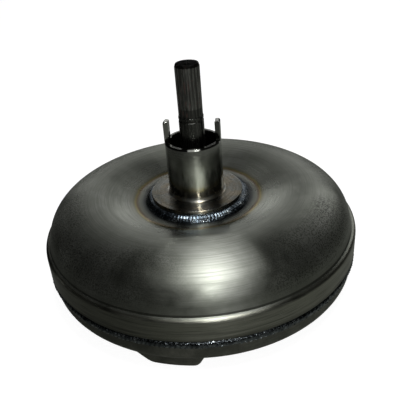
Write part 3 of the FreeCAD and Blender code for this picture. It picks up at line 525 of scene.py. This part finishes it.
def buildShell():
    s = shellSizes
    wall = s["wall"]
    outer, inner = domeCorners(s, 0.0), domeCorners(s, wall)
    band, foot = s["bandRadius"], s["foot"][1]
    corners = [(s["seat"], s["landHeight"]), outer[0] + (9.0, 5), outer[1] + (s["crest"], 20),
               outer[2] + (s["shoulder"], 22), outer[3] + (0.5, 4), (band, foot - 0.6, 3.2, 8),
               (band, s["bandLow"], 0.6, 3), (s["neck"], s["bandLow"] - 1.2, 0.6, 3),
               (s["neck"], s["joint"]), (s["inside"], s["joint"]), (s["inside"], foot - 6.4), inner[3],
               inner[2] + (s["shoulder"] - wall, 10), inner[1] + (s["crest"] - wall, 8),
               inner[0] + (9.0 + wall, 4), (s["seat"], s["landHeight"] - wall)]
    obj = smoothed(lathe("shell", corners, s["steps"]), 30)
    return finishPiece(obj, "housing", ["impeller_shell"], paints["shell"])


hubSizes = {"bore": 21.5, "sleeve": 26.0, "chamfer": 1.4, "top": 141.2, "mouth": 0.7, "end": 69.0,
            "seat": 40.0, "seatHeight": 81.5, "flange": 43.4, "flangeTop": 89.4, "root": 2.5, "edge": 0.8,
            "steps": 180, "tangFrom": -20.0, "tangTo": 2.0, "tangHeight": 18.0, "tangRound": 0.7}


def buildHub():
    s = hubSizes
    corners = [(s["bore"], s["end"]), (s["seat"], s["end"]), (s["seat"], s["seatHeight"]),
               (s["flange"], s["seatHeight"]), (s["flange"], s["flangeTop"], s["edge"], 3),
               (s["sleeve"], s["flangeTop"], s["root"], 8), (s["sleeve"], s["top"] - s["chamfer"]),
               (s["sleeve"] - s["chamfer"], s["top"]), (s["bore"] + s["mouth"], s["top"]),
               (s["bore"], s["top"] - s["mouth"])]
    obj = lathe("hub", corners, s["steps"])
    editAll(obj, "FACE")

    def inTang(face):
        spot = face.calc_center_median()
        angle = math.degrees(math.atan2(spot.y, spot.x))
        other = (angle + 180.0 + 180.0) % 360.0 - 180.0
        near = s["tangFrom"] < angle < s["tangTo"] or s["tangFrom"] < other < s["tangTo"]
        return near and spot.z > (s["top"] - s["chamfer"]) * mm and face.normal.z > 0.3

    pick(obj, "FACE", inTang)
    bpy.ops.mesh.extrude_region_move(TRANSFORM_OT_translate={"value": (0, 0, s["tangHeight"] * mm)})
    tip = (s["top"] + s["tangHeight"] - s["chamfer"]) * mm

    def tipEdge(edge):
        ends = [v.co for v in edge.verts]
        if min(e.z for e in ends) < tip - 0.1 * mm:
            return False
        turn = [math.degrees(math.atan2(e.y, e.x)) for e in ends]
        across = abs(ends[0].xy.length - ends[1].xy.length) > 0.2 * mm
        sides = [s["tangFrom"], s["tangTo"], s["tangFrom"] + 180.0, s["tangTo"] - 180.0]
        atSide = any(abs(turn[0] - a) < 0.1 and abs(turn[1] - a) < 0.1 for a in sides)
        return across and atSide

    pick(obj, "EDGE", tipEdge)
    bpy.ops.mesh.bevel(offset=s["tangRound"] * mm, segments=3, affect="EDGES")
    bpy.ops.mesh.select_all(action="SELECT")
    bpy.ops.mesh.normals_make_consistent(inside=False)
    smoothed(obj, 28)
    return finishPiece(obj, "housing", ["impeller_hub"], paints["hub"])


def ripple(turn, side, count, swing, seed):
    # one weld ripple after another, each a crescent that overlaps the last
    wander = noise.noise(Vector((math.cos(turn) * 3, math.sin(turn) * 3, seed)))
    phase = turn * count / (2 * math.pi) + side * side * 1.1 + wander * 1.2
    step = phase - math.floor(phase)
    return swing * ((1 - step) ** 1.6 - 0.35)


def roughenBead(obj, sizes):
    # pushes the bead's free face in and out along its own direction
    middle, low = sizes["middle"], sizes["height"]
    free = Vector(sizes["free"]).normalized()
    across = Vector((-free.y, free.x))
    for v in obj.data.vertices:
        radius = v.co.xy.length / mm
        turn = math.atan2(v.co.y, v.co.x)
        out = Vector((radius - middle, v.co.z / mm - low))
        side = out.dot(across) / sizes["half"]
        fade = max(0.0, 1 - side * side) * (out.dot(free) > -0.4)
        if not fade:
            continue
        around = Vector((math.cos(turn), math.sin(turn)))
        lump = noise.noise(Vector((around.x * 30, around.y * 30, sizes["seed"] + side * 1.5)))
        blob = max(0.0, noise.noise(Vector((around.x * 11, around.y * 11, sizes["seed"] + 7))) - 0.2)
        push = ripple(turn, side, sizes["ripples"], sizes["swing"], sizes["seed"])
        push += lump * sizes["lump"] + blob * sizes["blob"] * (1 + lump)
        moved = out + free * push * fade ** 0.4
        new = min(middle + moved.x, sizes["limit"])
        v.co.x, v.co.y = around.x * new * mm, around.y * new * mm
        v.co.z = (low + moved.y) * mm
    obj.data.update()


# outlines run from the wall and height that each bead lies against
hubBead = {"middle": 46.9, "height": 83.9, "half": 4.4, "free": (0.62, 0.78), "ripples": 104, "swing": 0.42,
           "lump": 0.16, "blob": 0.25, "seed": 3.0, "limit": 50.6, "steps": 936, "wall": 43.35, "rest": 81.5,
           "outline": [(0, -0.2), (0, 4.9), (1.0, 4.85, 0.6, 3), (2.4, 4.3, 1.2, 3), (4.3, 3.1, 2.0, 4),
                       (5.8, 1.7, 2.0, 3), (6.8, 0.3, 0.5, 2), (6.9, -0.2)]}
rimBead = {"middle": 148.4, "height": 31.3, "half": 4.2, "free": (1.0, -0.12), "ripples": 230, "swing": 0.7,
           "lump": 0.55, "blob": 0.9, "seed": 11.0, "limit": 149.95, "steps": 1150, "wall": 146.9,
           "rest": 33.0, "outline": [(-0.7, -5.6), (0.6, -5.2, 0.5, 3), (1.9, -4.0, 0.8, 3), (2.3, -2.4, 0.8, 3),
                       (2.2, -0.8, 0.8, 3), (1.5, 0.5, 0.8, 3), (0.5, 1.3, 0.4, 2), (0, 1.4)]}
pilotBead = {"middle": 20.4, "height": 9.2, "half": 2.4, "free": (0.4, -0.9), "ripples": 44, "swing": 0.3,
             "lump": 0.15, "blob": 0.2, "seed": 5.0, "limit": 22.5, "steps": 300, "wall": 19.0, "rest": 10.0,
             "outline": [(0, 0), (0, -2.2), (0.8, -2.1, 0.4, 3), (2.2, -1.3, 0.6, 4), (3.4, 0)]}


def buildWeld(name, node, sizes, paint):
    corners = [(sizes["wall"] + c[0], sizes["rest"] + c[1]) + c[2:] for c in sizes["outline"]]
    obj = lathe(name, corners, sizes["steps"])
    roughenBead(obj, sizes)
    smoothed(obj, 50)
    return finishPiece(obj, "housing", [node], paint)


def buildCover():
    obj = mergedCopy("front_cover", "coverPressing")
    smoothed(obj, 28)
    return finishPiece(obj, "housing", ["front_cover"], paints["cover"])


buildShell()
buildHub()
buildWeld("hubWeldBead", "hub_weld", hubBead, paints["hubWeld"])
buildWeld("rimWeldBead", "rim_weld", rimBead, paints["rimWeld"])
buildWeld("pilotWeldBead", "pilot_weld", pilotBead, paints["rimWeld"])
buildCover()


# input shaft

shaftSizes = {"teeth": 20, "tip": 11.0, "root": 9.95, "body": 11.4, "nose": 7.0, "noseEnd": 7.5,
              "hubLow": 17.0, "hubHigh": 34.0, "splineLow": 164.5, "top": 211.0, "lead": 2.6,
              "turn": 9.0, "crown": 1.9, "flank": 4.6, "foot": 7.3,
              "centreHole": [(0.97, 0.0), (1.45 / 9.7, 0.0), (0.90, 0.15), (0.08, 2.05)]}


def toothGroups(obj, s):
    # vertices of one ring by their place on a tooth: crown, middle of the flank, gap
    pitch = 360.0 / s["teeth"]
    groups = {"crown": [], "flank": [], "gap": []}
    grid = bmesh.from_edit_mesh(obj.data)
    grid.verts.index_update()
    for v in grid.verts:
        if v.select:
            turn = (math.degrees(math.atan2(v.co.y, v.co.x)) - s["turn"] + pitch / 2) % pitch - pitch / 2
            lean = abs(turn) + 0.1
            kind = "crown" if lean < s["flank"] else "flank" if lean < s["foot"] else "gap"
            groups[kind].append(v.index)
    return groups


def buildShaft():
    s = shaftSizes
    tip, root, body = s["tip"], s["root"], s["body"]
    stations = [  # height, crown radius, gap radius
        (s["noseEnd"], s["nose"] - 0.8, s["nose"] - 0.8), (s["noseEnd"] + 0.8, s["nose"], s["nose"]),
        (s["hubLow"] - 0.5, s["nose"], s["nose"]), (s["hubLow"] + 0.5, root - 0.4, root - 0.4),
        (s["hubLow"] + 2.0, tip, root), (s["hubHigh"], tip, root), (s["hubHigh"] + 1.0, body, root + 0.6),
        (s["hubHigh"] + 2.2, body, body), (s["splineLow"] - 5.0, body, body),
        (s["splineLow"] - 4.4, body - 0.5, body - 0.5), (s["splineLow"] - 3.2, body - 0.5, body - 0.5),
        (s["splineLow"] - 2.6, body, body), (s["splineLow"] - 0.9, body, body),
        (s["splineLow"] - 0.3, tip + 0.1, tip - 0.1), (s["splineLow"] + 1.8, tip, root),
        (s["top"] - s["lead"], tip, root), (s["top"], tip - 1.0, tip - 1.05)]
    turns = [0.0, s["crown"], s["flank"], s["foot"]]
    turns += [180.0 / s["teeth"]] + [-turn for turn in turns[:0:-1]]
    clearSelection()
    bpy.ops.mesh.primitive_circle_add(vertices=s["teeth"] * 8, radius=mm, fill_type="NGON",
                                      location=(0, 0, stations[0][0] * mm))
    obj = bpy.context.object
    obj.name = "shaftSplined"
    editAll(obj)
    grid = bmesh.from_edit_mesh(obj.data)
    ring = sorted(grid.verts, key=lambda v: math.atan2(v.co.y, v.co.x) % (2 * math.pi))
    for index, v in enumerate(ring):
        turn = math.radians(360.0 / s["teeth"] * (index // 8) + turns[index % 8] + s["turn"])
        v.co.x, v.co.y = math.cos(turn) * mm, math.sin(turn) * mm
    bmesh.update_edit_mesh(obj.data)
    now = {"crown": 1.0, "gap": 1.0}
    height = stations[0][0]
    for level, (z, crown, gap) in enumerate(stations):
        if level:
            bpy.ops.mesh.extrude_region_move(TRANSFORM_OT_translate={"value": (0, 0, (z - height) * mm)})
        height = z
        kinds = toothGroups(obj, s)
        want = {"crown": crown, "gap": gap, "flank": (crown + gap) / 2}
        now["flank"] = (now["crown"] + now["gap"]) / 2
        ringSet = set(kinds["crown"] + kinds["flank"] + kinds["gap"])
        for kind, members in kinds.items():
            chosen = set(members)
            pick(obj, "VERT", lambda v: v.index in chosen)
            grow = want[kind] / now[kind]
            bpy.ops.transform.resize(value=(grow, grow, 1), center_override=(0, 0, z * mm))
        now["crown"], now["gap"] = crown, gap
        pick(obj, "VERT", lambda v: v.index in ringSet)
    # the lead chamfer widens each crown towards the end face
    grid = bmesh.from_edit_mesh(obj.data)
    pitch = 2 * math.pi / s["teeth"]
    for v in grid.verts:
        if v.select:
            turn = math.atan2(v.co.y, v.co.x) - math.radians(s["turn"])
            tooth = round(turn / pitch) * pitch
            lean = turn - tooth
            if abs(lean) < math.radians(s["foot"] + 0.1):
                lean *= 0 if abs(lean) < 1e-4 else math.radians(s["foot"] - 0.1) / abs(lean)
                radius = v.co.xy.length
                turn = tooth + lean + math.radians(s["turn"])
                v.co.x, v.co.y = math.cos(turn) * radius, math.sin(turn) * radius
    bmesh.update_edit_mesh(obj.data)
    # centre hole in the end face: each ring's size as a share of the last one, and how far it sinks
    top = s["top"] * mm
    for ratio, drop in s["centreHole"]:
        bpy.ops.mesh.extrude_region_move(TRANSFORM_OT_translate={"value": (0, 0, -drop * mm)})
        top -= drop * mm
        bpy.ops.transform.resize(value=(ratio, ratio, 1), center_override=(0, 0, top))
    bpy.ops.mesh.merge(type="CENTER")
    bpy.ops.mesh.select_all(action="SELECT")
    bpy.ops.mesh.normals_make_consistent(inside=False)
    smoothed(obj, 24)
    return finishPiece(obj, "shaft", ["input_shaft"], paints["shaft"])


buildShaft()
print("visible pieces done")


# inner parts keep their CAD shapes

innerPaint = {"plated": ["mounting_inserts", "turbine_rivets"], "turned": ["crank_pilot"],
              "bronze": ["pilot_bush"], "forged": ["turbine_hub"], "plastic": ["turbine_thrust_washer"],
              "sheet": ["impeller_core_ring", "impeller_blades", "turbine_shell", "turbine_core_ring",
                        "turbine_blades"],
              "race": ["rear_bearing_race", "front_bearing_race", "clutch_cam", "clutch_rollers",
                       "clutch_inner_race", "front_bearing_needles", "rear_bearing_needles"],
              "cast": ["stator_wheel"], "plate": ["clutch_front_plate", "clutch_rear_plate"],
              "strip": ["clutch_springs", "front_bearing_cage", "rear_bearing_cage"]}

for paint, nodes in innerPaint.items():
    for node in nodes:
        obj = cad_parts[node]
        obj.data.materials.clear()
        obj.data.materials.append(paints[paint])
print("inner parts painted")


# stage, light and camera

stageLook = {"wall": 6.5, "height": 7.0, "sweep": 1.5, "thick": 0.1, "glow": 0.93, "pale": 0.22,
             "air": (0.97, 1.0, 0.92, 1), "level": (-0.30, 0.02, 0.20, 0.012),  # brighter below than above
             "side": (-0.75, 0.10, 0.30, 1.0)}  # and dimmer on the left


def buildStage():
    # a pale cove, floor and wall in one sweep, that the steel doesn't mirror
    reach, height = stageLook["wall"] / mm, stageLook["height"] / mm
    thick = stageLook["thick"] / mm
    cove = lathe("paleCove", [(0, 0), (reach, 0, stageLook["sweep"] / mm, 10), (reach, height),
                              (reach + thick, height), (reach + thick, -thick), (0, -thick)], 64)
    smoothed(cove, 40)
    p = Paint("paleCove", metallic=0.0, roughness=0.9)
    pale, glow = stageLook["pale"], stageLook["glow"]
    mottle = p.clouds(p.place, 3.0, 2.0)
    tone = p.ramp(mottle, [(0.3, grey(pale - 0.01)), (0.7, grey(pale))])
    shine = p.ramp(mottle, [(0.3, grey(glow - 0.005)), (0.7, grey(glow))])
    p.shader.inputs["Emission Strength"].default_value = 1.0
    p.tree.links.new(shine.socket, p.shader.inputs["Emission Color"])
    cove.data.materials.append(p.finish(colour=tone))
    cove.visible_glossy = False
    cove.visible_diffuse = False
    world = bpy.data.worlds.new("studio")
    bpy.context.scene.world = world
    world.use_nodes = True
    tree = world.node_tree
    where = tree.nodes.new("ShaderNodeTexCoord")
    split = tree.nodes.new("ShaderNodeSeparateXYZ")
    ranges = []
    for out, key in ((2, "level"), (0, "side")):
        part = tree.nodes.new("ShaderNodeMapRange")
        for index, value in enumerate(stageLook[key]):
            part.inputs[index + 1].default_value = value
        tree.links.new(split.outputs[out], part.inputs[0])
        ranges.append(part)
    dim = tree.nodes.new("ShaderNodeMath")
    dim.operation = "MULTIPLY"
    for index, part in enumerate(ranges):
        tree.links.new(part.outputs[0], dim.inputs[index])
    tree.links.new(where.outputs["Generated"], split.inputs[0])
    tree.nodes["Background"].inputs[0].default_value = stageLook["air"]
    tree.links.new(dim.outputs[0], tree.nodes["Background"].inputs[1])


lamps = {  # place, aim, width, height (m) and power (W)
    "overheadBox": ((0.090, -0.20, 1.28), (0, 0, 0.09), 0.24, 0.50, 8.2),
    "ceiling": ((0.0, -0.95, 2.45), (0, 0, 0.09), 1.5, 1.5, 6.5),
    "frontWindow": ((0.11, -1.30, 1.05), (0, 0, 0.10), 0.10, 0.30, 5.8),
    "rearHigh": ((0.0, 2.4, 2.3), (0, 0, 0.09), 3.0, 1.0, 2.6),
    "rearLow": ((0.0, 2.9, 0.9), (0, 0, 0.09), 3.0, 0.8, 8.5),
    "rearRight": ((1.6, 2.0, 1.3), (0, 0, 0.09), 1.0, 1.2, 4.8),
    "rearStrip": ((0.1, 2.4, 1.47), (0, 0, 0.12), 1.6, 0.24, 0.55),
    "leftPanel": ((-1.9, 0.5, 0.30), (0, 0, 0.06), 0.16, 0.6, 0.15),
    "rightFront": ((1.4, -1.3, 0.60), (0, 0, 0.06), 0.3, 0.5, 0.25),
    "leftFront": ((-1.4, -1.3, 0.60), (0, 0, 0.06), 0.3, 0.5, 0.15)}


def softbox(name, place, aim, width, height, power):
    light = bpy.data.lights.new(name, "AREA")
    light.shape = "RECTANGLE"
    light.size, light.size_y = width, height
    light.energy = power
    obj = bpy.data.objects.new(name, light)
    bpy.context.scene.collection.objects.link(obj)
    obj.location = place
    obj.rotation_euler = (Vector(aim) - Vector(place)).to_track_quat("-Z", "Y").to_euler()


cameraLook = {"place": (0.0, -0.4550, 0.3390), "aim": (0.00204, 0.0, 0.0760), "roll": -4.62, "lens": 48.636,
              "film": 36.0, "near": 0.01}


def buildCamera():
    camera = bpy.data.cameras.new("camera")
    camera.lens = cameraLook["lens"]
    camera.sensor_width = cameraLook["film"]
    camera.clip_start = cameraLook["near"]
    obj = bpy.data.objects.new("camera", camera)
    bpy.context.scene.collection.objects.link(obj)
    turn = (Vector(cameraLook["aim"]) - Vector(cameraLook["place"])).to_track_quat("-Z", "Y").to_matrix()
    roll = Matrix.Rotation(math.radians(cameraLook["roll"]), 3, "Z")
    obj.matrix_world = Matrix.Translation(cameraLook["place"]) @ (turn @ roll).to_4x4()
    bpy.context.scene.camera = obj


buildStage()
for name, settings in lamps.items():
    softbox(name, *settings)
buildCamera()
bpy.context.scene.view_settings.view_transform = "Standard"
print("stage, lights and camera set")
